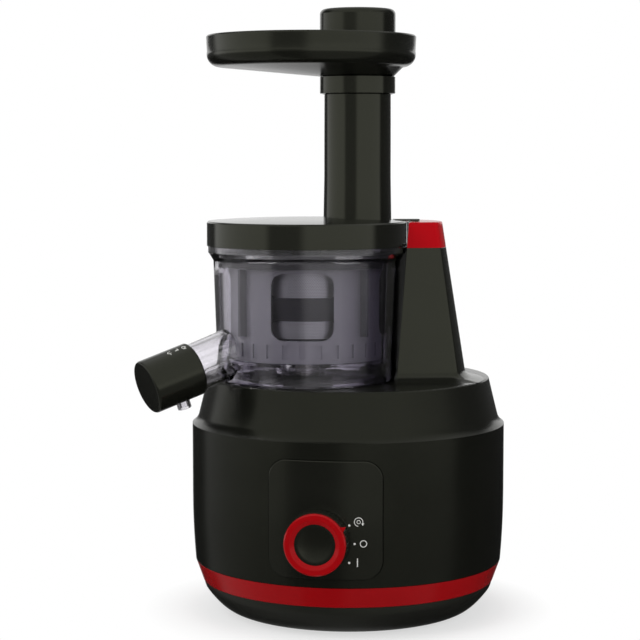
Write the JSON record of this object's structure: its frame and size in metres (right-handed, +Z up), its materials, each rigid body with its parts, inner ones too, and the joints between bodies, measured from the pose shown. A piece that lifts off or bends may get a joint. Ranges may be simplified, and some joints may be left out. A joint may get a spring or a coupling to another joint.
{
  "type": "cold press juicer",
  "caption": "Upright slow juicer: round drum base with a selector, clear bowl with a capped side spout, press screw inside, offset feed tube with tray and pusher.",
  "frame": {"origin": "axis of the drum base on the plane that the rubber feet stand on", "axes": "+Z up, the control panel faces -Y, the tower stands on the +X side"},
  "size_m": [0.2344, 0.231, 0.4058],
  "materials": {
    "base_black": "fine satin moulding",
    "panel_black": "satin",
    "red_trim": "gloss",
    "clear_smoke": "polished clear plastic",
    "smoke_plastic": "satin",
    "screen_steel": "fine perforated sheet",
    "auger_plastic": "satin",
    "silicone": "soft matte",
    "rubber_black": "matte",
    "steel": "machined",
    "motor_steel": "laminated sheet",
    "cast_bracket": "die cast",
    "copper": "enamelled wire",
    "gear_nylon": "moulded",
    "switch_plastic": "moulded",
    "board_green": "laminate"
  },
  "bodies": {
    "base": {"base_housing": "base_black", "base_band": "red_trim", "bottom_shell": "base_black", "rubber_feet": "rubber_black", "base_screws": "steel", "control_panel": "panel_black", "rotary_switch": "switch_plastic", "tower_housing": "base_black", "tower_cap": "red_trim", "tower_screws": "steel", "interlock_switch": "switch_plastic", "cord_gland": "rubber_black", "control_board": "board_green", "board_components": "switch_plastic", "stator_core": "motor_steel", "stator_windings": "copper", "motor_lower_bracket": "cast_bracket", "motor_upper_bracket": "cast_bracket", "motor_bearings": "steel", "motor_screws": "steel", "gearbox_housing": "switch_plastic", "gearbox_cover": "switch_plastic", "gearbox_screws": "steel", "intermediate_axle": "steel", "output_bearings": "steel", "shaft_seal": "rubber_black"},
    "selector": {"switch_shaft": "steel", "knob_body": "base_black", "knob_ring": "red_trim"},
    "interlock": {"interlock_plunger": "switch_plastic"},
    "motor": {"motor_shaft": "steel", "motor_rotor": "motor_steel", "cooling_fan": "gear_nylon", "motor_pinion": "steel"},
    "intermediate": {"intermediate_gear": "gear_nylon", "intermediate_pinion": "steel"},
    "output": {"output_gear": "gear_nylon", "output_shaft": "steel"},
    "bowl": {"juice_bowl": "clear_smoke", "hub_seal": "silicone", "pulp_plug": "silicone", "spout_seal": "silicone"},
    "drip_cap": {"spout_cap": "base_black"},
    "wiper_drive": {"wiper_pinion": "gear_nylon"},
    "wiper": {"wiper_cage": "smoke_plastic", "wiper_blades": "silicone"},
    "strainer": {"strainer_frame": "smoke_plastic", "strainer_mesh": "screen_steel"},
    "screw": {"auger": "auger_plastic", "drive_socket": "steel"},
    "seal_ring": {"lid_seal": "silicone"},
    "cover": {"lid": "base_black", "lid_bush": "gear_nylon"},
    "tray": {"feeding_tray": "base_black"},
    "pusher": {"pusher_body": "base_black", "pusher_cap": "base_black"}
  },
  "joints": [
    {"name": "selector_turn", "type": "hinge", "parent": "base", "child": "selector", "pos_m": [-0.0038, -0.1077, 0.0666], "axis": [0, 1, 0], "range_deg": [0, 62]},
    {"name": "interlock_press", "type": "slide", "parent": "base", "child": "interlock", "axis": [0, 0, -1], "range_m": [0, 0.0015], "stiffness_N_per_m": 150},
    {"name": "motor_spin", "type": "hinge", "parent": "base", "child": "motor", "pos_m": [0, 0, 0.06], "axis": [0, 0, 1], "continuous": true},
    {"name": "intermediate_spin", "type": "hinge", "parent": "base", "child": "intermediate", "pos_m": [-0.02943, 0.02073, 0.11], "axis": [0, 0, 1], "continuous": true},
    {"name": "output_spin", "type": "hinge", "parent": "base", "child": "output", "pos_m": [-0.0245, -0.024, 0.12], "axis": [0, 0, 1], "continuous": true},
    {"name": "bowl_lift", "type": "slide", "parent": "base", "child": "bowl", "axis": [0, 0, 1], "range_m": [0, 0.06]},
    {"name": "drip_cap_turn", "type": "hinge", "parent": "bowl", "child": "drip_cap", "pos_m": [-0.07322, -0.06071, 0.1782], "axis": [-0.7608, -0.5733, -0.304], "range_deg": [0, 90]},
    {"name": "wiper_pinion_spin", "type": "hinge", "parent": "bowl", "child": "wiper_drive", "pos_m": [-0.0085, -0.05171, 0.175], "axis": [0, 0, 1], "continuous": true},
    {"name": "wiper_spin", "type": "hinge", "parent": "bowl", "child": "wiper", "pos_m": [-0.0245, -0.024, 0.2], "axis": [0, 0, 1], "continuous": true},
    {"name": "strainer_lift", "type": "slide", "parent": "bowl", "child": "strainer", "axis": [0, 0, 1], "range_m": [0, 0.09]},
    {"name": "screw_spin", "type": "hinge", "parent": "strainer", "child": "screw", "pos_m": [-0.0245, -0.024, 0.2], "axis": [0, 0, 1], "continuous": true},
    {"name": "lid_lift", "type": "slide", "parent": "strainer", "child": "seal_ring", "axis": [0, 0, 1], "range_m": [0, 0.04]},
    {"name": "lid_turn", "type": "hinge", "parent": "seal_ring", "child": "cover", "pos_m": [-0.0245, -0.024, 0.25], "axis": [0, 0, 1], "range_deg": [0, 20]},
    {"name": "tray_lift", "type": "slide", "parent": "cover", "child": "tray", "axis": [0, 0, 1], "range_m": [0, 0.04]},
    {"name": "pusher_lift", "type": "slide", "parent": "tray", "child": "pusher", "axis": [0, 0, 1], "range_m": [0, 0.12]}
  ],
  "couplings": [
    {"joint": "intermediate_spin", "follows": "motor_spin", "ratio": -0.2},
    {"joint": "output_spin", "follows": "motor_spin", "ratio": 0.04},
    {"joint": "screw_spin", "follows": "motor_spin", "ratio": 0.04},
    {"joint": "wiper_pinion_spin", "follows": "motor_spin", "ratio": -0.051429},
    {"joint": "wiper_spin", "follows": "motor_spin", "ratio": -0.015652}
  ]
}
